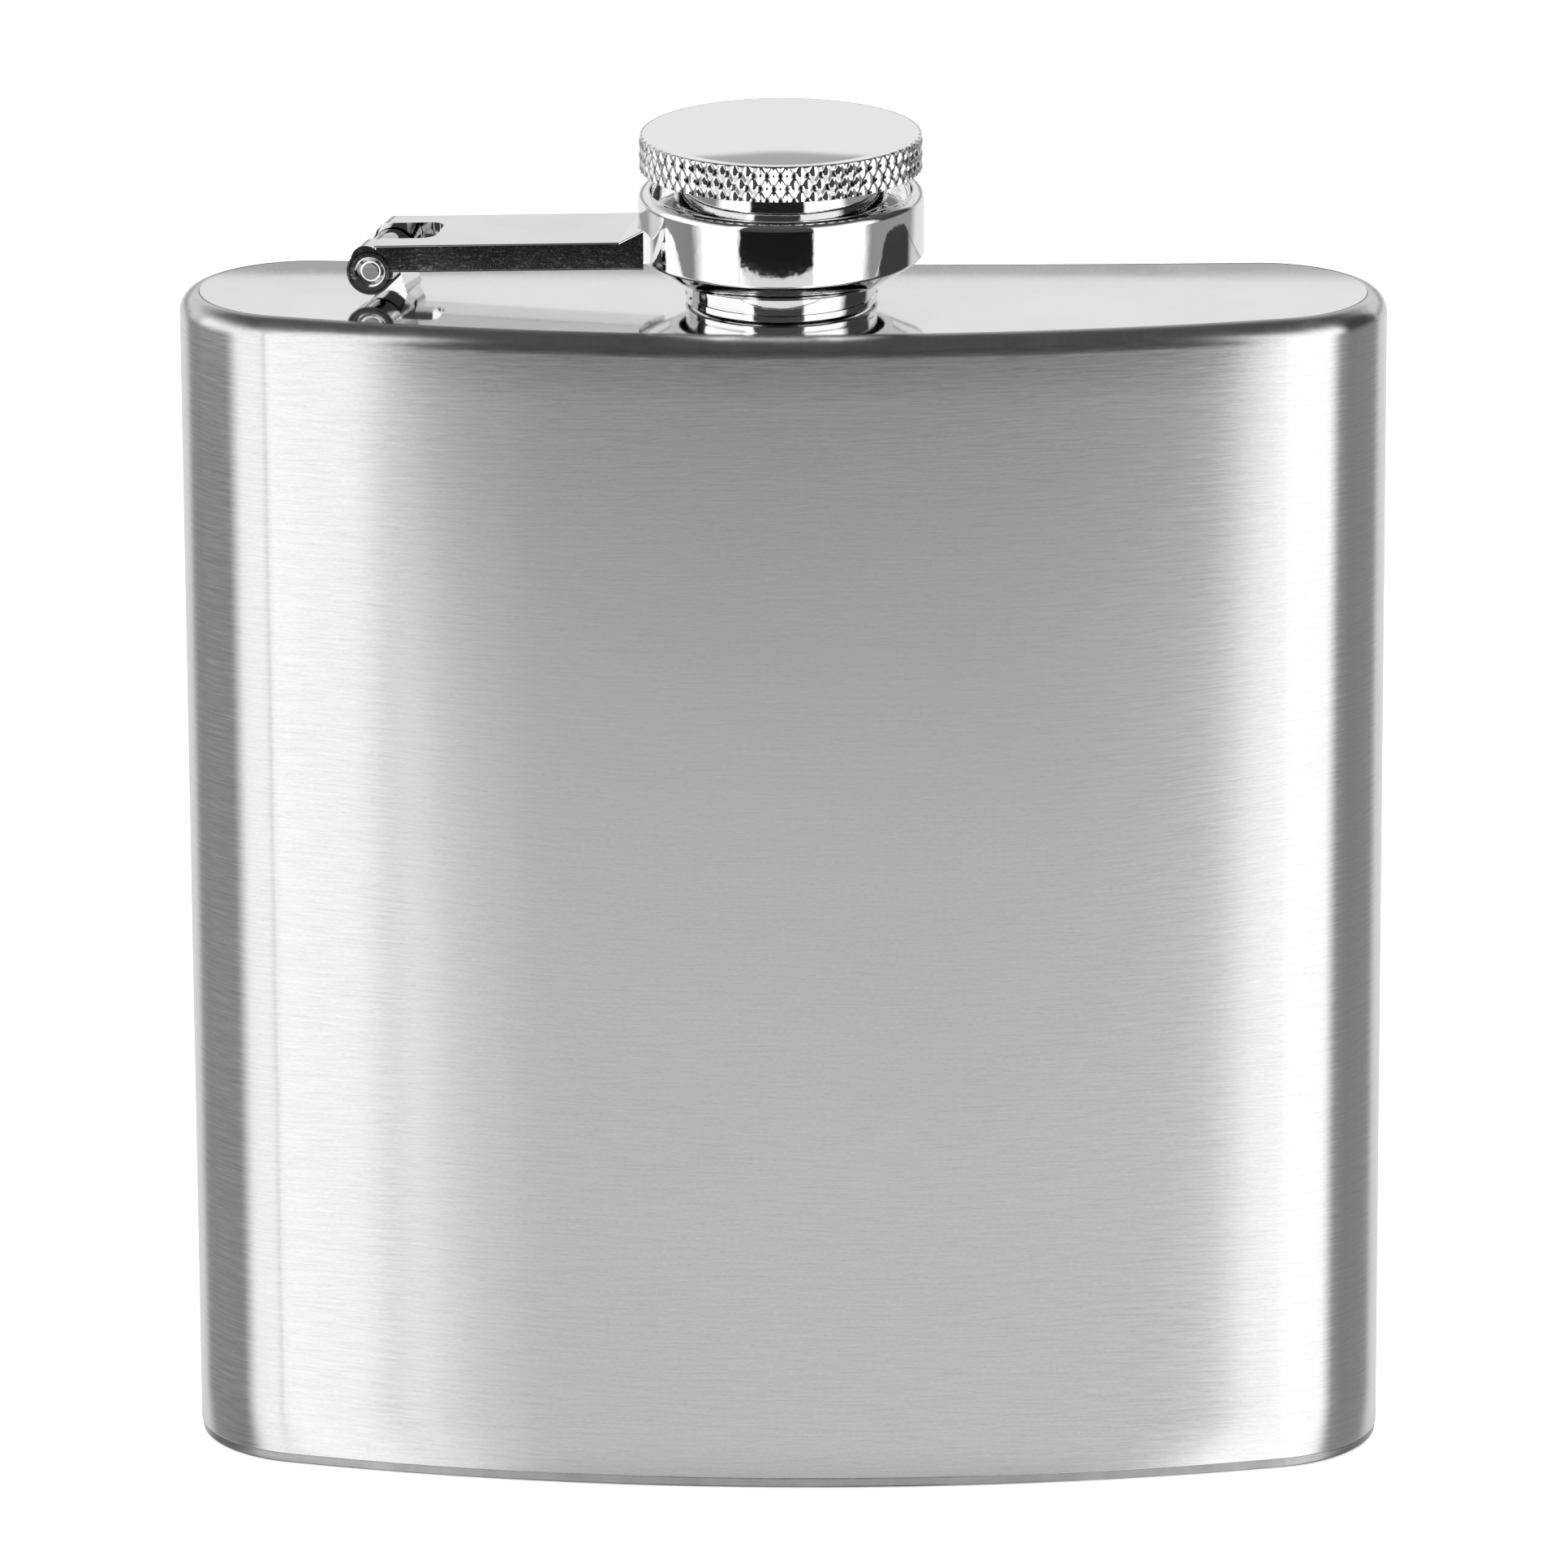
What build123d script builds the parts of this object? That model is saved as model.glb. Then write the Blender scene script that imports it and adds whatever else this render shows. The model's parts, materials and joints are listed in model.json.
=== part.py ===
from build123d import *
import math
import os

os.makedirs("parts", exist_ok=True)

# Hip flask with a screw cap held captive by a hinged arm.
# Millimetres, +Z up. Origin: centre of the base, under the neck's axis.
# The front faces -Y. The hinge is at the -X end of the top plate.

# ---- flask body ----
WIDTH = 95.0
HEIGHT = 95.0
FRONT_Y = 11.7            # neck axis to the middle of the front face
FRONT_R = 156.0           # convex front
BACK_R = 748.0            # slightly hollow back
END_R = 10.0              # rounded ends
SHEET = 0.6
SHOULDER_R = 1.6          # rounding between wall and top plate
BOTTOM_THICK = 0.8
SEAM_INSET = 0.12         # bottom plate stands in from the wall by this
BOTTOM_EDGE_R = 0.3
TOP_THICK = 0.8

# ---- neck ----
NECK_R = 5.5
NECK_BORE_R = 4.6
NECK_RISE = 5.8           # above the top plate
NECK_LIP_R = 0.3
FLANGE_R = 8.0
FLANGE_THICK = 0.8

# ---- thread, one turn on the neck and one in the cap ----
PITCH = 1.5
TURNS = 1.0
THREAD_RISE = 3.0         # start of the threads above the top plate
MALE_CREST_R = 6.05
FEMALE_CREST_R = 5.8
RIDGE_ROOT_W = 0.7
RIDGE_CREST_W = 0.4
RIDGE_SINK = 0.15         # how far a ridge's root is buried in its wall

# ---- cap ----
HEAD_R = 11.1
HEAD_THICK = 2.85
CAP_TOP = 13.6            # above the top plate
HEAD_EDGE = 0.3
COLLAR_R = 8.4            # wide collar under the head
COLLAR_FOOT = 8.3         # above the top plate
COLLAR_EDGE = 0.25
SHANK_R = 7.75
SHANK_FOOT = 7.4          # lower end of the head's shank above the top plate
STEM_R = 6.95
STEM_BORE_R = 6.35
STEM_TOP = 9.5
STEM_ROOF = 7.5           # underside of the closed end of the stem
CAP_GAP = 0.2             # stem and sleeve end above the top plate
SLEEVE_R = 7.65
SLEEVE_TOP = 3.6
SLEEVE_EDGE = 0.15
GASKET_R = 6.27
GASKET_FOOT = 6.15
GASKET_THICK = 1.2

# ---- captive ring ----
RING_R = 11.2
RING_TOP = 9.1
RING_CREST_OUTER_R = 0.7
RING_CREST_INNER_R = 0.2
RING_MOUTH_R = 10.2
RING_WEB_TOP = 7.0
RING_WEB_FOOT = 6.4
RING_WEB_HOLE_R = 7.25
RING_WALL_FOOT = 4.0      # where the outer wall meets the lower cone
RING_FOOT = 2.3
RING_FOOT_R = 8.75
RING_BORE_R = 8.05
RING_FOOT_EDGE_R = 0.12

# ---- hinge arm, in a frame on the pin with X towards the ring ----
HINGE_X = -31.25
HINGE_Y = 4.2
HINGE_RISE = 2.35         # pin axis above the top plate
HINGE_TURN = 12.0         # pin is square to the curved front edge beside it
ARM_WIDTH = 9.55
ARM_FOOT = -0.06          # underside above the pin axis
ARM_THICK = 2.17
ARM_SLOPE = 1.0           # how much higher the bar lies at the ring
KNUCKLE_R = 1.85
NOSE_R = 1.2              # rounding of the bar's top over the knuckle
NOSE_REACH = 0.3          # its centre beyond the pin
SLOT_WIDTH = 4.9
SLOT_LENGTH = 4.4
SLOT_CORNER_R = 1.2
GUSSET_LENGTH = 2.0
GUSSET_RISE = 1.1
ARM_EDGE_R = 0.15
PIN_R = 0.66
PIN_SHORT = 0.1           # pin ends stand in from the arm's sides by this
PIN_RECESS_R = 1.2
PIN_RECESS = 0.25

# ---- hinge bracket ----
BARREL_R = 1.7
BARREL_LENGTH = 4.3
PIN_CLEARANCE = 0.04
LEG_TOP_LEFT = (-1.2, -0.9)
LEG_TOP_RIGHT = (1.65, -0.3)
LEG_FOOT_LEFT = 0.3
LEG_FOOT_RIGHT = 2.3

hinge_reach = math.hypot(HINGE_X, HINGE_Y)
hinge_yaw = math.degrees(math.atan2(-HINGE_Y, -HINGE_X))
pin_skew = -HINGE_TURN - hinge_yaw


def save(shape, node):
    """Write one node as a STEP file."""
    shape.label = node
    export_step(shape, "parts/" + node + ".step")


def kidney(inset):
    """Outline of the flask's section, moved inwards by inset."""
    end_x = WIDTH / 2 - END_R
    front_cy = FRONT_R - FRONT_Y
    end_y = front_cy - math.sqrt((FRONT_R - END_R) ** 2 - end_x ** 2)
    back_cy = end_y + math.sqrt((BACK_R + END_R) ** 2 - end_x ** 2)
    front_turn = math.atan2(end_x, front_cy - end_y)
    back_turn = math.atan2(end_x, back_cy - end_y)
    front_r = FRONT_R - inset
    back_r = BACK_R + inset
    end_r = END_R - inset
    front_x = front_r * math.sin(front_turn)
    front_y = front_cy - front_r * math.cos(front_turn)
    back_x = back_r * math.sin(back_turn)
    back_y = back_cy - back_r * math.cos(back_turn)
    side_turn = (front_turn + math.pi - back_turn) / 2 + back_turn - math.pi / 2
    side_x = end_x + end_r * math.cos(side_turn)
    side_y = end_y + end_r * math.sin(side_turn)
    edges = [
        ThreePointArc((-front_x, front_y), (0, front_cy - front_r), (front_x, front_y)),
        ThreePointArc((front_x, front_y), (side_x, side_y), (back_x, back_y)),
        ThreePointArc((back_x, back_y), (0, back_cy - back_r), (-back_x, back_y)),
        ThreePointArc((-back_x, back_y), (-side_x, side_y), (-front_x, front_y)),
    ]
    return make_face(Wire(edges))


def slab(inset, foot, top):
    """A prism with the flask's section between two heights."""
    return Pos(0, 0, foot) * extrude(kidney(inset), amount=top - foot)


def tube(outer_r, inner_r, foot, top):
    """A tube round the neck's axis between two heights."""
    length = top - foot
    up = (Align.CENTER, Align.CENTER, Align.MIN)
    ring = Cylinder(outer_r, length, align=up) - Cylinder(inner_r, length, align=up)
    return Pos(0, 0, foot) * ring


def disc(radius, foot, top):
    """A solid disc round the neck's axis between two heights."""
    up = (Align.CENTER, Align.CENTER, Align.MIN)
    return Pos(0, 0, foot) * Cylinder(radius, top - foot, align=up)


def turned(points):
    """Turn a closed (radius, height) outline round the neck's axis."""
    outline = Polyline([(radius, 0, height) for radius, height in points], close=True)
    return revolve(make_face(outline), axis=Axis.Z)


def thread(root_r, crest_r, foot):
    """One helical ridge, its root buried in the wall it belongs to."""
    path = Helix(pitch=PITCH, height=PITCH * TURNS, radius=root_r)
    outward = 1 if crest_r > root_r else -1
    sink = -outward * RIDGE_SINK
    depth = crest_r - root_r
    section = Polyline(
        [
            (sink, -RIDGE_ROOT_W / 2),
            (depth, -RIDGE_CREST_W / 2),
            (depth, RIDGE_CREST_W / 2),
            (sink, RIDGE_ROOT_W / 2),
        ],
        close=True,
    )
    start = Plane(origin=path @ 0, x_dir=(1, 0, 0), z_dir=path % 0)
    ridge = sweep(start * make_face(section), path=path, is_frenet=True)
    return Pos(0, 0, foot) * ridge


def on_hinge(shape):
    """Move a shape from the hinge's own frame to its place on the flask."""
    return Pos(HINGE_X, HINGE_Y, HEIGHT + HINGE_RISE) * Rot(0, 0, hinge_yaw) * shape


def across(radius, length):
    """A cylinder along the hinge axis, centred on it."""
    return Rot(0, 0, pin_skew) * Rot(90, 0, 0) * Cylinder(radius, length)


def side_profile(points, width):
    """Extrude an (x, z) outline of the hinge's frame evenly to both sides."""
    return extrude(make_face(Plane.XZ * Polyline(points, close=True)), amount=width / 2, both=True)


# ---- body wall: wrapped sheet that turns in over the shoulder ----
outer = slab(0, BOTTOM_THICK, HEIGHT)
outer = fillet(outer.faces().sort_by(Axis.Z)[-1].edges(), SHOULDER_R)
hollow = slab(SHEET, BOTTOM_THICK, HEIGHT - SHEET)
hollow = fillet(hollow.faces().sort_by(Axis.Z)[-1].edges(), SHOULDER_R - SHEET)
top_opening = slab(SHOULDER_R, HEIGHT - 2 * TOP_THICK, HEIGHT)
body_wall = outer - hollow - top_opening
save(body_wall, "body_wall")

# ---- bottom plate, seam-welded under the wall ----
bottom_plate = slab(SEAM_INSET, 0, BOTTOM_THICK)
bottom_plate = fillet(bottom_plate.faces().sort_by(Axis.Z)[0].edges(), BOTTOM_EDGE_R)
save(bottom_plate, "bottom_plate")

# ---- top plate, set in the opening inside the shoulder ----
top_plate = slab(SHOULDER_R, HEIGHT - TOP_THICK, HEIGHT)
top_plate = top_plate - disc(NECK_R, HEIGHT - TOP_THICK, HEIGHT)
save(top_plate, "top_plate")

# ---- neck: tube, flange under the top plate, one-turn thread ----
neck_foot = HEIGHT - TOP_THICK - FLANGE_THICK
neck_top = HEIGHT + NECK_RISE
neck = disc(NECK_R, neck_foot, neck_top) + disc(FLANGE_R, neck_foot, HEIGHT - TOP_THICK)
neck = neck - disc(NECK_BORE_R, neck_foot, neck_top)
neck = fillet(neck.faces().sort_by(Axis.Z)[-1].edges(), NECK_LIP_R)
neck = neck + thread(NECK_R, MALE_CREST_R, HEIGHT + THREAD_RISE)
save(neck, "neck")

# ---- cap head: knurled disc, collar and shank, with a socket for the stem ----
head_top = HEIGHT + CAP_TOP
head_foot = head_top - HEAD_THICK
collar_foot = HEIGHT + COLLAR_FOOT
shank_foot = HEIGHT + SHANK_FOOT
socket_top = HEIGHT + STEM_TOP
cap_head = turned(
    [
        (0, head_top),
        (HEAD_R - HEAD_EDGE, head_top),
        (HEAD_R, head_top - HEAD_EDGE),
        (HEAD_R, head_foot + HEAD_EDGE),
        (HEAD_R - HEAD_EDGE, head_foot),
        (COLLAR_R, head_foot),
        (COLLAR_R, collar_foot + COLLAR_EDGE),
        (COLLAR_R - COLLAR_EDGE, collar_foot),
        (SHANK_R, collar_foot),
        (SHANK_R, shank_foot),
        (STEM_R, shank_foot),
        (STEM_R, socket_top),
        (0, socket_top),
    ]
)
save(cap_head, "cap_head")

# ---- cap stem: closed tube with the inside thread ----
stem_foot = HEIGHT + CAP_GAP
cap_stem = disc(STEM_R, stem_foot, socket_top)
cap_stem = cap_stem - disc(STEM_BORE_R, stem_foot, HEIGHT + STEM_ROOF)
female_foot = HEIGHT + THREAD_RISE + PITCH / 2
cap_stem = cap_stem + thread(STEM_BORE_R, FEMALE_CREST_R, female_foot)
save(cap_stem, "cap_stem")

# ---- retaining sleeve: keeps the cap in the ring ----
retaining_sleeve = tube(SLEEVE_R, STEM_R, stem_foot, HEIGHT + SLEEVE_TOP)
sleeve_rims = retaining_sleeve.edges().filter_by(GeomType.CIRCLE).sort_by(SortBy.RADIUS)[-2:]
retaining_sleeve = chamfer(sleeve_rims, SLEEVE_EDGE)
save(retaining_sleeve, "retaining_sleeve")

# ---- cap gasket: loose disc over the neck's mouth ----
gasket_foot = HEIGHT + GASKET_FOOT
cap_gasket = disc(GASKET_R, gasket_foot, gasket_foot + GASKET_THICK)
save(cap_gasket, "cap_gasket")

# ---- captive ring: cup above, bore for the retaining sleeve below ----
captive_ring = turned(
    [
        (RING_BORE_R, HEIGHT + RING_FOOT),
        (RING_FOOT_R, HEIGHT + RING_FOOT),
        (RING_R, HEIGHT + RING_WALL_FOOT),
        (RING_R, HEIGHT + RING_TOP),
        (RING_MOUTH_R, HEIGHT + RING_TOP),
        (RING_MOUTH_R, HEIGHT + RING_WEB_TOP),
        (RING_WEB_HOLE_R, HEIGHT + RING_WEB_TOP),
        (RING_WEB_HOLE_R, HEIGHT + RING_WEB_FOOT),
        (RING_BORE_R, HEIGHT + RING_WEB_FOOT),
    ]
)
crest_edges = captive_ring.faces().sort_by(Axis.Z)[-1].edges().sort_by(SortBy.RADIUS)
captive_ring = fillet(crest_edges[-1], RING_CREST_OUTER_R)
crest_edges = captive_ring.faces().sort_by(Axis.Z)[-1].edges().sort_by(SortBy.RADIUS)
captive_ring = fillet(crest_edges[0], RING_CREST_INNER_R)
foot_edges = captive_ring.faces().sort_by(Axis.Z)[0].edges()
captive_ring = fillet(foot_edges, RING_FOOT_EDGE_R)
save(captive_ring, "captive_ring")

# ---- hinge arm: forked bar that ends on the ring ----
arm_top = ARM_FOOT + ARM_THICK
ring_wall_x = hinge_reach - RING_R
bar_end = hinge_reach
bar = side_profile(
    [
        (0, ARM_FOOT),
        (ring_wall_x, ARM_FOOT + ARM_SLOPE),
        (bar_end, ARM_FOOT + ARM_SLOPE),
        (bar_end, arm_top + ARM_SLOPE + GUSSET_RISE),
        (ring_wall_x + GUSSET_RISE, arm_top + ARM_SLOPE + GUSSET_RISE),
        (ring_wall_x - GUSSET_LENGTH + GUSSET_RISE, arm_top + ARM_SLOPE),
        (0, arm_top),
    ],
    ARM_WIDTH,
)
bar = fillet(bar.faces().filter_by(Axis.Y).edges(), ARM_EDGE_R)
nose = Pos(-NOSE_REACH, 0, arm_top - NOSE_R) * across(NOSE_R, 2 * ARM_WIDTH)
knuckle = across(KNUCKLE_R, 2 * ARM_WIDTH) + nose
knuckle = knuckle & Box(4 * KNUCKLE_R, ARM_WIDTH, 6 * KNUCKLE_R)
slot = Box(
    SLOT_LENGTH + 2 * KNUCKLE_R,
    SLOT_WIDTH,
    6 * KNUCKLE_R,
    align=(Align.MAX, Align.CENTER, Align.CENTER),
)
slot = fillet(slot.edges().filter_by(Axis.Z).sort_by(Axis.X)[-2:], SLOT_CORNER_R)
ring_body = Pos(hinge_reach, 0, 0) * Cylinder(RING_R, 8 * ARM_THICK)
recess_floors = across(PIN_RECESS_R, ARM_WIDTH - 2 * PIN_RECESS)
pin_recesses = across(PIN_RECESS_R, 2 * ARM_WIDTH) - recess_floors
hinge_arm = bar + knuckle - Pos(SLOT_LENGTH, 0, 0) * slot
hinge_arm = hinge_arm - ring_body - across(PIN_R, 2 * ARM_WIDTH) - pin_recesses
save(on_hinge(hinge_arm), "hinge_arm")

# ---- hinge pin: fixed in the arm's two ears ----
hinge_pin = across(PIN_R, ARM_WIDTH - 2 * PIN_SHORT)
save(on_hinge(hinge_pin), "hinge_pin")

# ---- hinge bracket: rolled barrel on a leaning leg, welded to the top plate ----
leg = side_profile(
    [
        LEG_TOP_LEFT,
        LEG_TOP_RIGHT,
        (LEG_FOOT_RIGHT, -HINGE_RISE),
        (LEG_FOOT_LEFT, -HINGE_RISE),
    ],
    BARREL_LENGTH,
)
hinge_bracket = across(BARREL_R, BARREL_LENGTH) + Rot(0, 0, pin_skew) * leg
hinge_bracket = hinge_bracket - across(PIN_R + PIN_CLEARANCE, 2 * BARREL_LENGTH)
save(on_hinge(hinge_bracket), "hinge_bracket")
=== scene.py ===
import json
import math

import bpy
from mathutils import Matrix, Vector


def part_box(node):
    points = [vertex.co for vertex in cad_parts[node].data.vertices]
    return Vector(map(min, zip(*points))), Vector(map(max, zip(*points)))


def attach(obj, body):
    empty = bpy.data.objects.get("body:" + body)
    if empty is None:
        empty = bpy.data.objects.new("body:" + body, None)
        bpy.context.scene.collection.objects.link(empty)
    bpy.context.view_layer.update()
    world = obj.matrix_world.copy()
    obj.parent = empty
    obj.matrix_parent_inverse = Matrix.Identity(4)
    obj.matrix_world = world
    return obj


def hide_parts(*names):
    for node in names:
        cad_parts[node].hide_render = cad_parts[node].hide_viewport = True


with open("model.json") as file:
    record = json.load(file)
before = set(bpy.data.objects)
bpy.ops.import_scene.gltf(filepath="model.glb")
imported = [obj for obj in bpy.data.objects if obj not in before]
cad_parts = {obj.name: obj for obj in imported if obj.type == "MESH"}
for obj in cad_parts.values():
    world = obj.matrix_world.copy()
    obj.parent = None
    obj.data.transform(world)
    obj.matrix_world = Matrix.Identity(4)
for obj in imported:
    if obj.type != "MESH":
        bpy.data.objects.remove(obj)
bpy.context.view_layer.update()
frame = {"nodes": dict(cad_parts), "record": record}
nodes = frame["nodes"]
MM = 0.001

# ---------------------------------------------------------------- sizes, mm
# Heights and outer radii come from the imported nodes' boxes.


def low(node, axis):
    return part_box(node)[0][axis] / MM


def high(node, axis):
    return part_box(node)[1][axis] / MM


PLATE = high("top_plate", 2)
WIDTH = high("body_wall", 0) - low("body_wall", 0)
FRONT_Y = -low("body_wall", 1)
WALL_FOOT = low("body_wall", 2)
FRONT_R = 156.0  # convex front
BACK_R = 748.0  # slightly hollow back
END_R = 10.0  # rounded ends
SHEET = 0.6
SHOULDER_R = 1.6  # rounding between the wall and the top plate
FOOT_EDGE = 0.14  # rounding at the wall's foot, over the seam
FOOT_EDGE_MIDDLE = 0.3 * FOOT_EDGE

RING_R = high("captive_ring", 0)
RING_FOOT = low("captive_ring", 2)
RING_TOP = high("captive_ring", 2)
RING_BORE_R = 8.05
RING_FOOT_R = 8.75
RING_MOUTH_R = 10.2
RING_WALL_FOOT = RING_FOOT + 1.7
WEB_HOLE_R = 7.25
WEB_FOOT = RING_FOOT + 4.1
WEB_TOP = RING_FOOT + 4.7

SLEEVE_R = high("retaining_sleeve", 0)
SLEEVE_FOOT = low("retaining_sleeve", 2)
SLEEVE_TOP = high("retaining_sleeve", 2)
STEM_R = high("cap_stem", 0)

HEAD_R = high("cap_head", 0)
HEAD_TOP = high("cap_head", 2)
HEAD_FOOT = HEAD_TOP - 2.85
SOCKET_TOP = HEAD_TOP - 4.1  # roof of the head's socket for the stem
COLLAR_FOOT = HEAD_TOP - 5.3
SHANK_FOOT = HEAD_TOP - 6.2
SHANK_R = 7.75
COLLAR_FOOT_R = 8.4
COLLAR_TOP_R = 7.95
COLLAR_SINK = 0.1  # the collar's top is buried in the head by this
COLLAR_SUNK_R = 9.0

# ---------------------------------------------------------------- mesh tools
FILLET_STEPS = 6
LATHE_SEGMENTS = 256
FACE_STEPS = 120  # points across the front, and across the back
END_STEPS = 56  # points round one end


def new_mesh(name, verts, faces):
    """A smooth mesh object from points in mm."""
    mesh = bpy.data.meshes.new(name)
    mesh.from_pydata([tuple(c * MM for c in v) for v in verts], [], faces)
    mesh.validate()
    mesh.update()
    mesh.shade_smooth()
    obj = bpy.data.objects.new(name, mesh)
    bpy.context.scene.collection.objects.link(obj)
    return obj


def rounded(corners):
    """Closed (r, z) outline from corners (r, z, fillet radius)."""
    out = []
    for i, (r, z, fillet) in enumerate(corners):
        p = Vector((r, z))
        if fillet <= 0:
            out.append((r, z))
            continue
        a = Vector(corners[i - 1][:2]) - p
        b = Vector(corners[(i + 1) % len(corners)][:2]) - p
        a.normalize()
        b.normalize()
        half = a.angle(b) / 2
        cut = fillet / math.tan(half)
        centre = p + (a + b).normalized() * (fillet / math.sin(half))
        start = p + a * cut
        end = p + b * cut
        t0 = math.atan2(start.y - centre.y, start.x - centre.x)
        t1 = math.atan2(end.y - centre.y, end.x - centre.x)
        while t1 - t0 > math.pi:
            t1 -= 2 * math.pi
        while t1 - t0 < -math.pi:
            t1 += 2 * math.pi
        for k in range(FILLET_STEPS + 1):
            t = t0 + (t1 - t0) * k / FILLET_STEPS
            out.append((centre.x + fillet * math.cos(t), centre.y + fillet * math.sin(t)))
    return out


def lathe(name, outline):
    """Turn a closed (r, z) outline round the neck's axis."""
    verts, faces = [], []
    for r, z in outline:
        for s in range(LATHE_SEGMENTS):
            t = 2 * math.pi * s / LATHE_SEGMENTS
            verts.append((r * math.cos(t), r * math.sin(t), z))
    for row in range(len(outline)):
        a = row * LATHE_SEGMENTS
        b = (row + 1) % len(outline) * LATHE_SEGMENTS
        for s in range(LATHE_SEGMENTS):
            e = (s + 1) % LATHE_SEGMENTS
            faces.append((a + s, a + e, b + e, b + s))
    return new_mesh(name, verts, faces)


def kidney(inset):
    """The flask's section moved in by inset: (x, y), anticlockwise from the back's middle."""
    end_x = WIDTH / 2 - END_R
    front_cy = FRONT_R - FRONT_Y
    end_y = front_cy - math.sqrt((FRONT_R - END_R) ** 2 - end_x ** 2)
    back_cy = end_y + math.sqrt((BACK_R + END_R) ** 2 - end_x ** 2)
    front_turn = math.atan2(end_x, front_cy - end_y)
    back_turn = math.atan2(end_x, back_cy - end_y)
    front_r = FRONT_R - inset
    back_r = BACK_R + inset
    end_r = END_R - inset
    half = FACE_STEPS // 2

    def arc(r, cy, t):
        return r * math.sin(t), cy - r * math.cos(t)

    first = front_turn - math.pi / 2
    last = back_turn + math.pi / 2
    turns = [first + (last - first) * k / END_STEPS for k in range(END_STEPS + 1)]
    across = [front_turn * (2 * k / FACE_STEPS - 1) for k in range(FACE_STEPS)]
    pts = [arc(back_r, back_cy, -back_turn * k / half) for k in range(half)]
    pts += [(-end_x - end_r * math.cos(t), end_y + end_r * math.sin(t)) for t in turns[:0:-1]]
    pts += [arc(front_r, front_cy, t) for t in across]
    pts += [(end_x + end_r * math.cos(t), end_y + end_r * math.sin(t)) for t in turns[:-1]]
    pts += [arc(back_r, back_cy, back_turn * (1 - k / half)) for k in range(half)]
    return pts


def kidney_shell(name, profile):
    """Carry a closed (inset, z) profile round the section, with a UV map in metres along and up."""
    base = kidney(0)
    n = len(base)
    run = [0.0]
    for i in range(n):
        run.append(run[-1] + math.dist(base[i], base[(i + 1) % n]))
    verts, faces, uvs = [], [], []
    for inset, z in profile:
        verts += [(x, y, z) for x, y in kidney(inset)]
    for j, (inset, z) in enumerate(profile):
        k = (j + 1) % len(profile)
        here = z - inset
        there = profile[k][1] - profile[k][0]
        for i in range(n):
            e = (i + 1) % n
            faces.append((j * n + i, j * n + e, k * n + e, k * n + i))
            uvs += [(run[i], here), (run[i + 1], here), (run[i + 1], there), (run[i], there)]
    obj = new_mesh(name, verts, faces)
    layer = obj.data.uv_layers.new(name="run")
    for item, (u, v) in zip(layer.data, uvs):
        item.uv = (u * MM, v * MM)
    return obj


# ---------------------------------------------------------------- node trees
class Nodes:
    """A node tree with short ways to add to it."""

    def __init__(self, tree):
        self.tree = tree

    def node(self, kind, **settings):
        n = self.tree.nodes.new(kind)
        for key, value in settings.items():
            setattr(n, key, value)
        return n

    def link(self, a, b):
        self.tree.links.new(a, b)

    def math(self, op, a, b, clamp=False):
        n = self.node("ShaderNodeMath", operation=op, use_clamp=clamp)
        for socket, value in zip(n.inputs, (a, b)):
            if isinstance(value, (int, float)):
                socket.default_value = value
            else:
                self.link(value, socket)
        return n.outputs[0]

    def weighted(self, a, b, share):
        """a and b added, b by its share and a by the rest."""
        return self.math("ADD", self.math("MULTIPLY", a, 1 - share), self.math("MULTIPLY", b, share))

    def vector_math(self, op, vector, constant=None):
        n = self.node("ShaderNodeVectorMath", operation=op)
        self.link(vector, n.inputs[0])
        if constant is not None:
            n.inputs[1].default_value = constant
        return n

    def split(self, vector):
        n = self.node("ShaderNodeSeparateXYZ")
        self.link(vector, n.inputs[0])
        return n.outputs

    def ramp(self, value, *stops):
        """A colour ramp from (position, grey level or colour) stops."""
        n = self.node("ShaderNodeValToRGB")
        while len(n.color_ramp.elements) < len(stops):
            n.color_ramp.elements.new(0.5)
        for element, (position, level) in zip(n.color_ramp.elements, stops):
            element.position = position
            element.color = (*level, 1) if isinstance(level, tuple) else (level, level, level, 1)
        self.link(value, n.inputs[0])
        return n.outputs[0]


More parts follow.
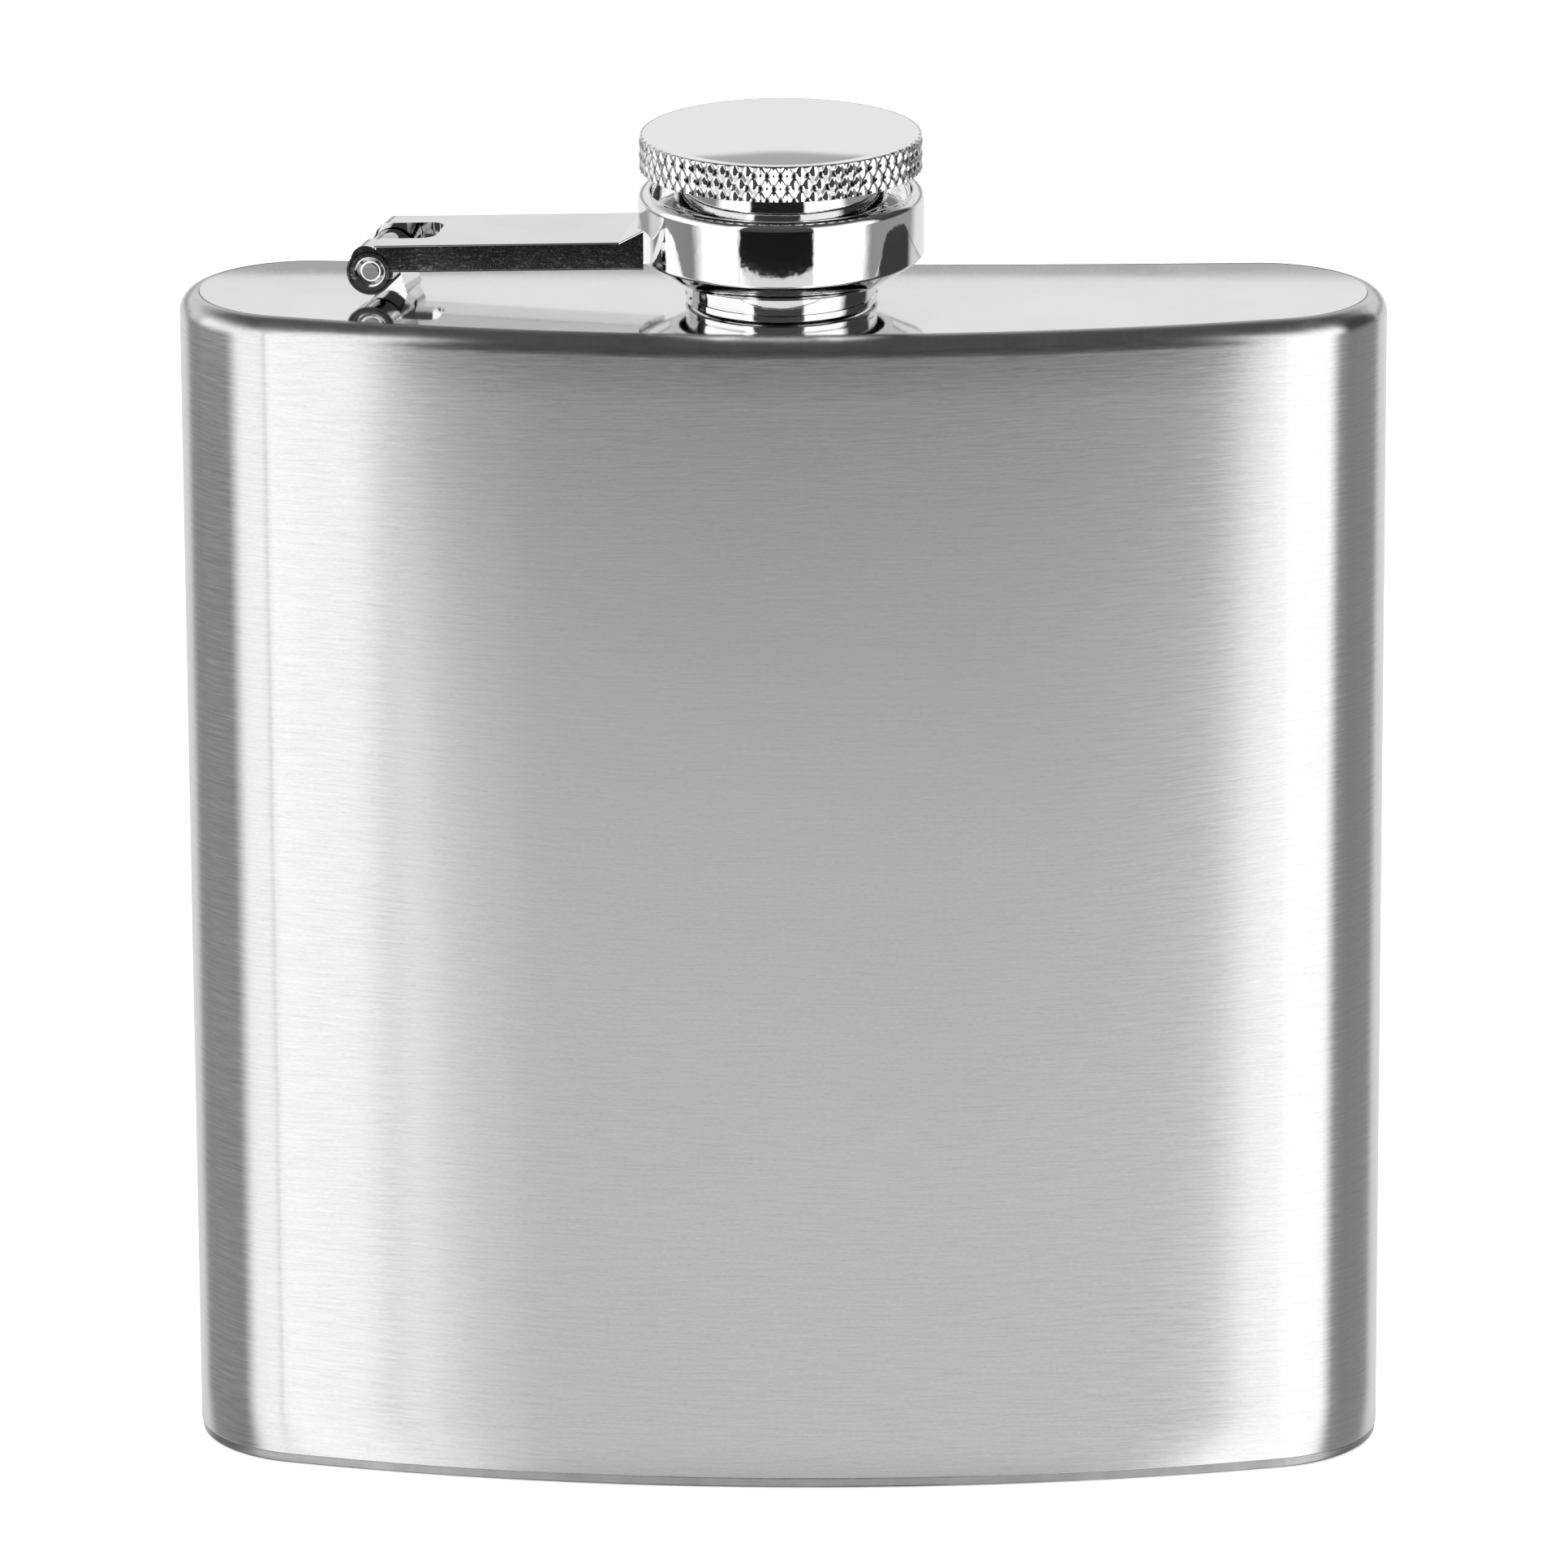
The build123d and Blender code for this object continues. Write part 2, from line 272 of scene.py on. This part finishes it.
class Mat(Nodes):
    """A material with one Principled shader."""

    def __init__(self, name, colour, metallic=1.0, roughness=0.2, **sockets):
        self.mat = bpy.data.materials.new(name)
        self.mat.use_nodes = True
        super().__init__(self.mat.node_tree)
        self.bsdf = self.tree.nodes["Principled BSDF"]
        self.bsdf.inputs["Base Color"].default_value = (*colour, 1)
        self.bsdf.inputs["Metallic"].default_value = metallic
        self.bsdf.inputs["Roughness"].default_value = roughness
        for key, value in sockets.items():
            self.bsdf.inputs[key.replace("_", " ")].default_value = value
        self.normal = None

    def coords(self):
        return self.node("ShaderNodeTexCoord").outputs["Object"]

    def noise(self, vector, cells, detail=2, roughness=0.55, shift=(0, 0, 0)):
        """Noise with so many cells per metre: one number, or one for each axis."""
        scale = self.node("ShaderNodeMapping")
        scale.inputs["Scale"].default_value = cells if isinstance(cells, tuple) else (cells,) * 3
        scale.inputs["Location"].default_value = shift
        self.link(vector, scale.inputs["Vector"])
        n = self.node("ShaderNodeTexNoise")
        n.inputs["Scale"].default_value = 1.0
        n.inputs["Detail"].default_value = detail
        n.inputs["Roughness"].default_value = roughness
        self.link(scale.outputs[0], n.inputs["Vector"])
        return n.outputs["Fac"]

    def spread(self, value, a, b, to_a, to_b):
        """Map a to b onto to_a to to_b, and no further."""
        n = self.node("ShaderNodeMapRange")
        for key, v in zip(("From Min", "From Max", "To Min", "To Max"), (a, b, to_a, to_b)):
            n.inputs[key].default_value = v
        self.link(value, n.inputs["Value"])
        return n.outputs[0]

    def bump(self, height, distance):
        """Add a bump, on top of those that are there; distance is its height in metres."""
        n = self.node("ShaderNodeBump")
        n.inputs["Strength"].default_value = 1.0
        n.inputs["Distance"].default_value = distance
        self.link(height, n.inputs["Height"])
        if self.normal is not None:
            self.link(self.normal, n.inputs["Normal"])
        self.normal = n.outputs[0]
        self.link(self.normal, self.bsdf.inputs["Normal"])

    def colour(self, socket):
        self.link(socket, self.bsdf.inputs["Base Color"])

    def rough(self, socket):
        self.link(socket, self.bsdf.inputs["Roughness"])


# ---------------------------------------------------------------- materials
NOISE_LOW = 0.3  # most of a noise's values lie between these two
NOISE_HIGH = 0.7


def shaded(colour, share):
    return tuple(c * share for c in colour)


def brushed_body():
    """Stainless sheet brushed along the wrap: fine, slightly wavy lines."""
    wander_height = 0.006  # metres that a line may rise or fall
    line_height = 0.000006
    rough_range = (0.17, 0.24)  # from line to line
    cloud_range = 0.05  # how much the roughness changes from place to place
    dark, middle, bright = (0.53, 0.535, 0.54), (0.62, 0.624, 0.63), (0.70, 0.704, 0.71)
    m = Mat("brushed_steel", middle, roughness=0.2, Anisotropic=1.0, Anisotropic_Rotation=0.25)
    uv = m.node("ShaderNodeUVMap", uv_map="run").outputs[0]
    wander = m.noise(uv, (9, 14, 1))
    shift = m.math("MULTIPLY", m.math("SUBTRACT", wander, 0.5), wander_height)
    along, up, _ = m.split(uv)
    join = m.node("ShaderNodeCombineXYZ")
    m.link(along, join.inputs[0])
    m.link(m.math("ADD", up, shift), join.inputs[1])
    warped = join.outputs[0]
    fine = m.noise(warped, (420, 6600, 1), detail=3, roughness=0.6)
    mid = m.noise(warped, (170, 3300, 1), detail=3, roughness=0.6)
    grit = m.noise(warped, (2600, 6500, 1))
    cloud = m.noise(uv, (18, 22, 1), detail=3)
    lines = m.weighted(fine, mid, 0.45)
    tone = m.weighted(lines, grit, 0.25)
    m.colour(m.ramp(tone, (0.32, dark), (0.5, middle), (0.68, bright)))
    rough = m.spread(lines, NOISE_LOW, NOISE_HIGH, *rough_range)
    unevenness = m.math("MULTIPLY", m.math("SUBTRACT", cloud, 0.5), cloud_range)
    m.rough(m.math("ADD", rough, unevenness))
    m.bump(lines, line_height)
    tangent = m.node("ShaderNodeTangent", direction_type="UV_MAP", uv_map="run")
    m.link(tangent.outputs[0], m.bsdf.inputs["Tangent"])
    return m.mat


def painted_shade_rings(m, centre, axis, bands):
    """Painted shade in grooves round an axis: bands of (from radius, to radius, how dark), in
    metres.
    """
    soft = 0.00006  # soft edge of a band
    away = m.vector_math("SUBTRACT", m.coords(), centre)
    lean = m.vector_math("CROSS_PRODUCT", away.outputs[0], axis)
    radius = m.vector_math("LENGTH", lean.outputs[0]).outputs["Value"]
    broken = m.spread(m.noise(m.coords(), 900), 0.35, 0.5, 0.45, 1.0)
    keep = None
    for start, end, dark in bands:
        past_start = m.spread(radius, start - soft, start, 0, 1)
        before_end = m.spread(radius, end, end + soft, 1, 0)
        # painted shade inside each band, broken up by noise
        band_shade = m.math("MULTIPLY", m.math("MULTIPLY", past_start, before_end), broken)
        left = m.math("SUBTRACT", 1.0, m.math("MULTIPLY", band_shade, dark))
        keep = left if keep is None else m.math("MULTIPLY", keep, left)
    clean = m.bsdf.inputs["Base Color"].links[0].from_socket
    tint = m.vector_math("SCALE", clean)
    m.link(keep, tint.inputs["Scale"])
    m.colour(tint.outputs[0])


def polished(name, colour, roughness, waves, wave_cells=60, ripple=0.0, dome=0.0, grooves=None):
    """Polished steel: fine scratches, faint haze and a slightly uneven surface.

    waves and ripple are heights in metres; dome is a crown along Y, in height by y squared.
    """
    scratch_height = 0.0000012
    scratch_rough = 0.035  # what a scratch adds to the roughness
    m = Mat(name, colour, roughness=roughness)
    at = m.coords()
    haze = m.noise(at, 55, detail=4)
    hair = m.noise(at, (900, 5200, 5200), shift=(0.3, 0.1, 0.2))
    cross = m.noise(at, (5200, 700, 3800), shift=(0.6, 0.4, 0.9))
    marks = m.math("MULTIPLY", hair, cross)
    m.colour(m.ramp(haze, (NOISE_LOW, shaded(colour, 0.86)), (0.65, colour)))
    base = m.spread(haze, NOISE_LOW, NOISE_HIGH, roughness * 0.6, roughness * 1.5)
    scratched = m.spread(marks, 0.25, 0.45, 0, 1)
    m.rough(m.math("ADD", base, m.math("MULTIPLY", scratched, scratch_rough)))
    if dome:
        y = m.split(at)[1]
        m.bump(m.math("MULTIPLY", m.math("MULTIPLY", y, y), -dome), 1.0)
    m.bump(m.noise(at, wave_cells), waves)
    if ripple:
        m.bump(m.noise(at, (850, 850, 500)), ripple)
    m.bump(marks, scratch_height)
    # bands of painted shade round the hinge's axis
    if grooves:
        painted_shade_rings(m, *grooves)
    return m.mat


def turned_steel(name, colour, roughness=0.22):
    """Turned steel: fine tool rings along the neck's axis."""
    ring_height = 0.000006
    m = Mat(name, colour, roughness=roughness)
    at = m.coords()
    rings = m.noise(at, (120, 120, 9000))
    spots = m.noise(at, 400, detail=3)
    m.colour(m.ramp(spots, (NOISE_LOW, shaded(colour, 0.82)), (NOISE_HIGH, colour)))
    m.rough(m.spread(rings, NOISE_LOW, NOISE_HIGH, roughness * 0.7, roughness * 1.4))
    m.bump(rings, ring_height)
    return m.mat


def knurled(name, colour):
    """Knurled rim: bright crests, with painted shade where the mesh's groove value is high."""
    m = Mat(name, colour, roughness=0.09)
    depth = m.node("ShaderNodeAttribute", attribute_name="groove").outputs["Fac"]
    grit = m.noise(m.coords(), 1500, detail=3)
    haze = m.noise(m.coords(), 60, detail=3)
    uneven = m.spread(grit, NOISE_LOW, NOISE_HIGH, 0.75, 1.25)
    # painted shade in the knurl's grooves and pits, a little uneven
    groove_shade = m.math("MULTIPLY", depth, uneven, clamp=True)
    clean = m.spread(haze, NOISE_LOW, NOISE_HIGH, 0.97, 1.0)
    tone = m.math("SUBTRACT", clean, m.math("MULTIPLY", groove_shade, 0.9))
    m.colour(m.ramp(tone, (0.1, 0.012), (0.5, 0.3), (0.85, colour)))
    m.rough(m.spread(groove_shade, 0.0, 1.0, 0.03, 0.3))
    return m.mat


def rubber():
    """Smooth matt rubber, a little cloudy."""
    grain_height = 0.00001
    m = Mat("gasket_rubber", (0.8, 0.8, 0.78), metallic=0.0, roughness=0.6)
    grain = m.noise(m.coords(), 1800, detail=3)
    cloud = m.noise(m.coords(), 260, detail=3)
    m.colour(m.ramp(cloud, (NOISE_LOW, (0.70, 0.70, 0.67)), (NOISE_HIGH, (0.83, 0.83, 0.81))))
    m.rough(m.spread(grain, NOISE_LOW, NOISE_HIGH, 0.5, 0.72))
    m.bump(grain, grain_height)
    return m.mat


def paint(obj, material):
    obj.data.materials.clear()
    obj.data.materials.append(material)


joints = frame["record"]["behaviour"]["joints"]
hinge = next(joint for joint in joints if joint["name"] == "arm_hinge")
pin_gap = (0.00084, 0.00108, 0.96)  # painted shade round the pin's end, in its recess
knuckle_line = (0.00158, 0.00166, 0.8)  # a fainter line of painted shade near the knuckle's edge

PLATE_COLOUR = (0.86, 0.86, 0.86)
HEAD_COLOUR = (0.86, 0.86, 0.86)
RING_COLOUR = (0.84, 0.84, 0.85)
ARM_COLOUR = (0.82, 0.82, 0.83)
NECK_COLOUR = (0.62, 0.62, 0.62)
PIN_COLOUR = (0.36, 0.36, 0.36)
BOTTOM_COLOUR = (0.38, 0.38, 0.38)

body_steel = brushed_body()
plate_steel = polished("polished_plate", PLATE_COLOUR, 0.07, waves=0.00001, dome=2.2)
ring_steel = polished(
    "polished_ring", RING_COLOUR, 0.04, waves=0.00004, wave_cells=170, ripple=0.000011
)
arm_steel = polished(
    "polished_arm",
    ARM_COLOUR,
    0.05,
    waves=0.000006,
    wave_cells=260,
    grooves=(hinge["pos_m"], hinge["axis"], [pin_gap, knuckle_line]),
)
pin_steel = turned_steel("pin_steel", PIN_COLOUR, roughness=0.35)
bottom_steel = turned_steel("bottom_steel", BOTTOM_COLOUR, roughness=0.3)
head_steel = knurled("knurled_cap", HEAD_COLOUR)
neck_steel = turned_steel("neck_steel", NECK_COLOUR)

for node, material in {
    "top_plate": plate_steel,
    "bottom_plate": bottom_steel,
    "neck": neck_steel,
    "cap_stem": neck_steel,
    "hinge_bracket": arm_steel,
    "hinge_arm": arm_steel,
    "hinge_pin": pin_steel,
    "cap_gasket": rubber(),
}.items():
    paint(nodes[node], material)

# ---------------------------------------------------------------- body shell
WALL_ROWS = 24
SHOULDER_STEPS = 12
INNER_STEPS = 6
wall_top = PLATE - SHOULDER_R
edge_top = WALL_FOOT + FOOT_EDGE
inner_r = SHOULDER_R - SHEET
profile = [(0.0, edge_top + (wall_top - edge_top) * k / WALL_ROWS) for k in range(WALL_ROWS)]
for k in range(SHOULDER_STEPS + 1):
    t = math.pi / 2 * k / SHOULDER_STEPS
    profile.append((SHOULDER_R * (1 - math.cos(t)), wall_top + SHOULDER_R * math.sin(t)))
for k in range(INNER_STEPS + 1):
    t = math.pi / 2 * (1 - k / INNER_STEPS)
    profile.append((SHOULDER_R - inner_r * math.cos(t), wall_top + inner_r * math.sin(t)))
profile.append((SHEET, WALL_FOOT))
profile.append((FOOT_EDGE, WALL_FOOT))
profile.append((FOOT_EDGE_MIDDLE, WALL_FOOT + FOOT_EDGE_MIDDLE))
shell = kidney_shell("body_shell", profile)
paint(shell, body_steel)
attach(shell, "flask")
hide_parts("body_wall")

# ---------------------------------------------------------------- captive ring
ring = lathe(
    "ring_collar",
    rounded(
        [
            (RING_BORE_R, RING_FOOT, 0.12),
            (RING_FOOT_R, RING_FOOT, 0.14),
            (RING_R, RING_WALL_FOOT, 0.35),
            (RING_R, RING_TOP, 0.7),
            (RING_MOUTH_R, RING_TOP, 0.2),
            (RING_MOUTH_R, WEB_TOP, 0.3),
            (WEB_HOLE_R, WEB_TOP, 0.1),
            (WEB_HOLE_R, WEB_FOOT, 0.1),
            (RING_BORE_R, WEB_FOOT, 0.1),
        ]
    ),
)
paint(ring, ring_steel)
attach(ring, "arm")
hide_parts("captive_ring")

# ---------------------------------------------------------------- retaining sleeve
band_r = SLEEVE_R - 0.12  # the band under the groove
band_top = SLEEVE_FOOT + 0.55
groove_r = SLEEVE_R - 0.3
groove_foot = SLEEVE_FOOT + 0.66
flare_r = SLEEVE_R - 0.2  # the sleeve widens from here to its top
flare_foot = SLEEVE_FOOT + 0.8
sleeve = lathe(
    "cap_sleeve",
    rounded(
        [
            (STEM_R, SLEEVE_FOOT, 0.0),
            (band_r, SLEEVE_FOOT, 0.12),
            (band_r, band_top, 0.04),
            (groove_r, groove_foot, 0.03),
            (flare_r, flare_foot, 0.04),
            (SLEEVE_R, SLEEVE_TOP, 0.15),
            (STEM_R, SLEEVE_TOP, 0.0),
        ]
    ),
)
paint(sleeve, ring_steel)
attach(sleeve, "cap")
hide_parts("retaining_sleeve")

# ---------------------------------------------------------------- cap collar
collar = lathe(
    "cap_collar",
    rounded(
        [
            (STEM_R, SHANK_FOOT, 0),
            (SHANK_R, SHANK_FOOT, 0.12),
            (SHANK_R, COLLAR_FOOT, 0.1),
            (COLLAR_FOOT_R, COLLAR_FOOT, 0.25),
            (COLLAR_TOP_R, HEAD_FOOT, 0.2),
            (COLLAR_SUNK_R, HEAD_FOOT, 0),
            (COLLAR_SUNK_R, HEAD_FOOT + COLLAR_SINK, 0),
            (STEM_R, HEAD_FOOT + COLLAR_SINK, 0),
        ]
    ),
)
paint(collar, ring_steel)
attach(collar, "cap")

# ---------------------------------------------------------------- cap head with its diamond knurl
DIAMONDS = 65  # round the rim
DIAMONDS_HIGH = 2.6
GROOVE_DEPTH = 0.18
PIT_DEPTH = 0.14  # deeper where two grooves cross
GROOVE_REACH = 0.86  # from a groove's middle, as a share of half the way to the next
PIT_REACH = 0.5
SHADE_FROM = 0.7  # painted shade starts at this share of a groove's depth
# how dark the painted shade is in a groove, and in a pit where two grooves cross
GROOVE_SHADE = 0.5
PIT_SHADE = 1.3
KNURL_FOOT = HEAD_TOP - 2.77
KNURL_TOP = HEAD_TOP - 0.14
DIAMOND_HEIGHT = (KNURL_TOP - KNURL_FOOT) / DIAMONDS_HIGH
RIM_CHAMFER = 0.22
RIM_ROWS = 60
STEPS_PER_DIAMOND = 14
HEAD_SEGMENTS = DIAMONDS * STEPS_PER_DIAMOND
UNDERSIDE_R = HEAD_R - 0.5
TOP_R = HEAD_R - 0.42
DISH_R = HEAD_R - 0.6
DISH = 0.27  # the head's top is slightly hollow
DISH_ROWS = 18
DISH_POWER = 1.5
SHARP_ANGLE = 40  # degrees


def wave(t):
    """A triangle wave, 0 at whole numbers and 1 halfway."""
    return 1 - abs(2 * (t % 1.0) - 1)


def knurl(turn, z):
    """Depth below the diamonds' crests in mm, and how dark the painted shade makes the place, 0 to
    1.
    """
    along = turn * DIAMONDS
    up = (z - KNURL_FOOT) / DIAMOND_HEIGHT
    one, other = wave(along + up / 2), wave(along - up / 2)
    groove = 1 - min(1.0, min(one, other) / GROOVE_REACH)
    pit = 1 - min(1.0, max(one, other) / PIT_REACH)
    dark = GROOVE_SHADE * max(0.0, groove - SHADE_FROM) / (1 - SHADE_FROM) + PIT_SHADE * pit
    return GROOVE_DEPTH * groove + PIT_DEPTH * pit, min(1.0, dark)


def plain(r):
    """A round row of one radius, with no painted shade."""
    return lambda turn: (r, 0.0)


def rim(z):
    """A row of the knurled rim: its radius and how dark it is, round the turn."""
    over = max(0.0, z - KNURL_TOP) / (HEAD_TOP - KNURL_TOP)
    under = max(0.0, KNURL_FOOT - z) / (KNURL_FOOT - HEAD_FOOT)
    edge = RIM_CHAMFER * max(over, under)

    def at(turn):
        depth, dark = knurl(turn, z)
        return HEAD_R - max(depth, edge), dark

    return at


def knurled_head():
    """The head as rows of points from its underside's middle to its top's middle."""
    verts, faces, grooves, rows = [], [], [], []

    def tip(z):
        rows.append([len(verts)])
        verts.append((0, 0, z))
        grooves.append(0.0)

    def row(z, shape):
        rows.append(range(len(verts), len(verts) + HEAD_SEGMENTS))
        for s in range(HEAD_SEGMENTS):
            turn = s / HEAD_SEGMENTS
            r, dark = shape(turn)
            t = 2 * math.pi * turn
            verts.append((r * math.cos(t), r * math.sin(t), z))
            grooves.append(dark)

    tip(SOCKET_TOP)
    row(SOCKET_TOP, plain(STEM_R))
    row(HEAD_FOOT, plain(STEM_R))
    row(HEAD_FOOT, plain(UNDERSIDE_R))
    for k in range(RIM_ROWS + 1):
        z = HEAD_FOOT + (HEAD_TOP - HEAD_FOOT) * k / RIM_ROWS
        row(z, rim(z))
    row(HEAD_TOP, plain(TOP_R))
    for k in range(DISH_ROWS):
        share = 1 - k / DISH_ROWS
        row(HEAD_TOP - DISH * (1 - share ** DISH_POWER), plain(DISH_R * share))
    tip(HEAD_TOP - DISH)
    for here, there in zip(rows, rows[1:]):
        for s in range(HEAD_SEGMENTS):
            e = (s + 1) % HEAD_SEGMENTS
            if len(here) == 1:
                faces.append((here[0], there[e], there[s]))
            elif len(there) == 1:
                faces.append((here[s], here[e], there[0]))
            else:
                faces.append((here[s], here[e], there[e], there[s]))
    obj = new_mesh("cap_knurled_head", verts, faces)
    # the groove attribute holds how dark the painted shade is at each point
    layer = obj.data.attributes.new("groove", "FLOAT", "POINT")
    layer.data.foreach_set("value", grooves)
    obj.data.set_sharp_from_angle(angle=math.radians(SHARP_ANGLE))
    return obj


head = knurled_head()
paint(head, head_steel)
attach(head, "cap")
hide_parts("cap_head")

# ---------------------------------------------------------------- floor
FLOOR_SIDE, FLOOR_NEAR, FLOOR_FAR = 0.22, -0.12, 0.6
floor_mat = Mat("floor", (0.93, 0.93, 0.93), metallic=0.0, roughness=0.9, Emission_Strength=0.5)
floor_mat.bsdf.inputs["Emission Color"].default_value = (1, 1, 1, 1)
grain = floor_mat.noise(floor_mat.coords(), 30)
floor_mat.colour(floor_mat.ramp(grain, (NOISE_LOW, 0.92), (NOISE_HIGH, 0.94)))
floor_mesh = bpy.data.meshes.new("floor")
floor_mesh.from_pydata(
    [
        (-FLOOR_SIDE, FLOOR_NEAR, 0),
        (FLOOR_SIDE, FLOOR_NEAR, 0),
        (FLOOR_SIDE, FLOOR_FAR, 0),
        (-FLOOR_SIDE, FLOOR_FAR, 0),
    ],
    [],
    [(0, 1, 2, 3)],
)
floor = bpy.data.objects.new("floor", floor_mesh)
bpy.context.scene.collection.objects.link(floor)
paint(floor, floor_mat.mat)
floor.visible_glossy = False  # the steel mirrors the surround below the floor's level too
floor.visible_shadow = False

# ---------------------------------------------------------------- studio surround
# One turn of the studio: light behind, grey sides, and a white panel each side of the dark front.
# Azimuths are degrees from the front, positive to the right; levels are brightness.
GAIN = 2.0  # the ramps hold levels up to 1, so they are divided by this and the light multiplied
TOP_LEVEL = (0.05, 0.05, 0.05, 1)  # overhead
BACK_LEVEL = (0.22, 0.22, 0.22, 1)  # low zone behind, mirrored in the front of the cap's top


def part_of_turn(degrees):
    return (degrees + 180) / 360


def round_the_studio(stops):
    return [(part_of_turn(degrees), level / GAIN) for degrees, level in stops]


def dark_front(level):
    return [(-39, 1.43), (-33, level), (27, level), (29.5, 1.7)]


BELOW = [(-180, 0.9), (-140, 0.9), (-128, 0.34), (-75, 0.27), (-62, 1.45)]
BELOW += dark_front(0.012)
BELOW += [(67, 1.7), (78, 0.33), (128, 0.36), (140, 0.9), (180, 0.9)]
ABOVE = [(-180, 0.88), (-112, 0.88), (-106, 1.5)]
ABOVE += dark_front(0.07)
ABOVE += [(76, 1.7), (88, 0.06), (126, 0.06), (134, 0.88), (180, 0.88)]
BEHIND = [(-135, 1.0), (-125, 0.0), (125, 0.0), (135, 1.0)]

world = bpy.data.worlds.new("studio")
bpy.context.scene.world = world
world.use_nodes = True
world.node_tree.nodes.clear()
studio = Nodes(world.node_tree)


def mix(factor, a, b):
    n = studio.node("ShaderNodeMix", data_type="RGBA")
    studio.link(factor, n.inputs["Factor"])
    studio.link(a, n.inputs["A"])
    if isinstance(b, tuple):
        n.inputs["B"].default_value = b
    else:
        studio.link(b, n.inputs["B"])
    return n.outputs["Result"]


x, y, z = studio.split(studio.node("ShaderNodeTexCoord").outputs["Generated"])
azimuth = studio.math("ARCTAN2", x, studio.math("MULTIPLY", y, -1))
turn = studio.math("ADD", studio.math("DIVIDE", azimuth, 2 * math.pi), 0.5)
below = studio.ramp(turn, *round_the_studio(BELOW))
above = studio.ramp(turn, *round_the_studio(ABOVE))
# z is the sine of the elevation; half is added because a ramp has no place below 0
horizon = studio.ramp(studio.math("ADD", z, 0.5), (0.45, 0.0), (0.55, 1.0))
behind = studio.ramp(turn, *[(part_of_turn(degrees), level) for degrees, level in BEHIND])
low_zone = studio.ramp(z, (0.0, 0.0), (0.04, 1.0), (0.193, 1.0), (0.197, 0.0))
overhead = studio.ramp(z, (0.42, 0.0), (0.75, 1.0))
surround = mix(horizon, below, above)
surround = mix(studio.math("MULTIPLY", behind, low_zone), surround, BACK_LEVEL)
surround = mix(overhead, surround, TOP_LEVEL)

backdrop = studio.node("ShaderNodeBackground")  # plain white where the camera looks past the flask
backdrop.inputs["Color"].default_value = (1, 1, 1, 1)
light = studio.node("ShaderNodeBackground")
studio.link(surround, light.inputs["Color"])
light.inputs["Strength"].default_value = GAIN
choose = studio.node("ShaderNodeMixShader")
studio.link(studio.node("ShaderNodeLightPath").outputs["Is Camera Ray"], choose.inputs[0])
studio.link(light.outputs[0], choose.inputs[1])
studio.link(backdrop.outputs[0], choose.inputs[2])
out = studio.node("ShaderNodeOutputWorld")
studio.link(choose.outputs[0], out.inputs[0])

# ---------------------------------------------------------------- lights
LOW_FRONT_X = 0.0105
LOW_FRONT_Y = -0.2
LOW_FRONT_TOP = 0.039  # any higher, and the arm's front mirrors it
LOW_FRONT_SIZE = (0.265, 0.289)
LOW_FRONT_POWER = 0.2
# the left panel's inner edge grows bright in steps: (from x, to x, up to z, radiance)
LEFT_PANEL = [
    (-0.080, -0.095, 0.035, 0.10),
    (-0.095, -0.106, 0.035, 0.22),
    (-0.106, -0.114, 0.040, 0.45),
    (-0.114, -0.122, 0.35, 0.75),
    (-0.122, -0.129, 0.35, 1.1),
    (-0.129, -0.1695, 0.35, 1.42),
    (-0.1695, -0.174, 0.35, 1.1),
]
PANEL_FOOT = -0.35
PANEL_Y = -0.187
PANEL_STAGGER = 0.001  # each strip stands this far in front of the one before
OVERHEAD_AT = (0.0, 0.25, 1.1)
OVERHEAD_TARGET = (0, 0.1, 0)
OVERHEAD_SIZE = (1.4, 1.4)
OVERHEAD_POWER = 16


def area(name, place, target, size, power, glossy=True):
    """A rectangular lamp at place that shines towards target, unseen by the camera."""
    data = bpy.data.lights.new(name, "AREA")
    data.shape = "RECTANGLE"
    data.size, data.size_y = size
    data.energy = power
    obj = bpy.data.objects.new(name, data)
    bpy.context.scene.collection.objects.link(obj)
    obj.location = place
    obj.rotation_euler = (Vector(target) - Vector(place)).to_track_quat("-Z", "Y").to_euler()
    obj.visible_glossy = glossy
    obj.visible_camera = False


def facing_back(name, place, size, power):
    """A lamp in front of the flask that shines straight back."""
    area(name, place, (place[0], 0, place[2]), size, power)


low_front_at = (LOW_FRONT_X, LOW_FRONT_Y, LOW_FRONT_TOP - LOW_FRONT_SIZE[1] / 2)
facing_back("low_front", low_front_at, LOW_FRONT_SIZE, LOW_FRONT_POWER)
for k, (inner, outer, top, radiance) in enumerate(LEFT_PANEL):
    size = (inner - outer, top - PANEL_FOOT)
    power = radiance * math.pi * size[0] * size[1]
    middle = ((inner + outer) / 2, PANEL_Y - PANEL_STAGGER * k, (top + PANEL_FOOT) / 2)
    facing_back("left_edge_%d" % k, middle, size, power)
area("overhead", OVERHEAD_AT, OVERHEAD_TARGET, OVERHEAD_SIZE, OVERHEAD_POWER, glossy=False)

# ---------------------------------------------------------------- camera
DISTANCE = 0.9234
CAM_HEIGHT = 0.3446
YAW = 0.028  # radians, as are the next two
PITCH = 0.304
ROLL = 0.005
BODY_SHIFT = 0.0012  # the body's middle lies this far behind the neck's axis
SENSOR = 36
LENS = 279.7037
camera_data = bpy.data.cameras.new("camera")
camera_data.sensor_width = SENSOR
camera_data.lens = LENS
camera_data.clip_start = 0.05
camera_data.clip_end = 20
camera = bpy.data.objects.new("camera", camera_data)
bpy.context.scene.collection.objects.link(camera)
yawed = Matrix.Rotation(YAW, 4, "Z")
place = Matrix.Translation((0, BODY_SHIFT - DISTANCE, CAM_HEIGHT))
tilted = Matrix.Rotation(math.pi / 2 - PITCH, 4, "X")
rolled = Matrix.Rotation(-ROLL, 4, "Z")
camera.matrix_world = yawed @ place @ tilted @ rolled
bpy.context.scene.camera = camera
bpy.context.scene.view_settings.view_transform = "Standard"
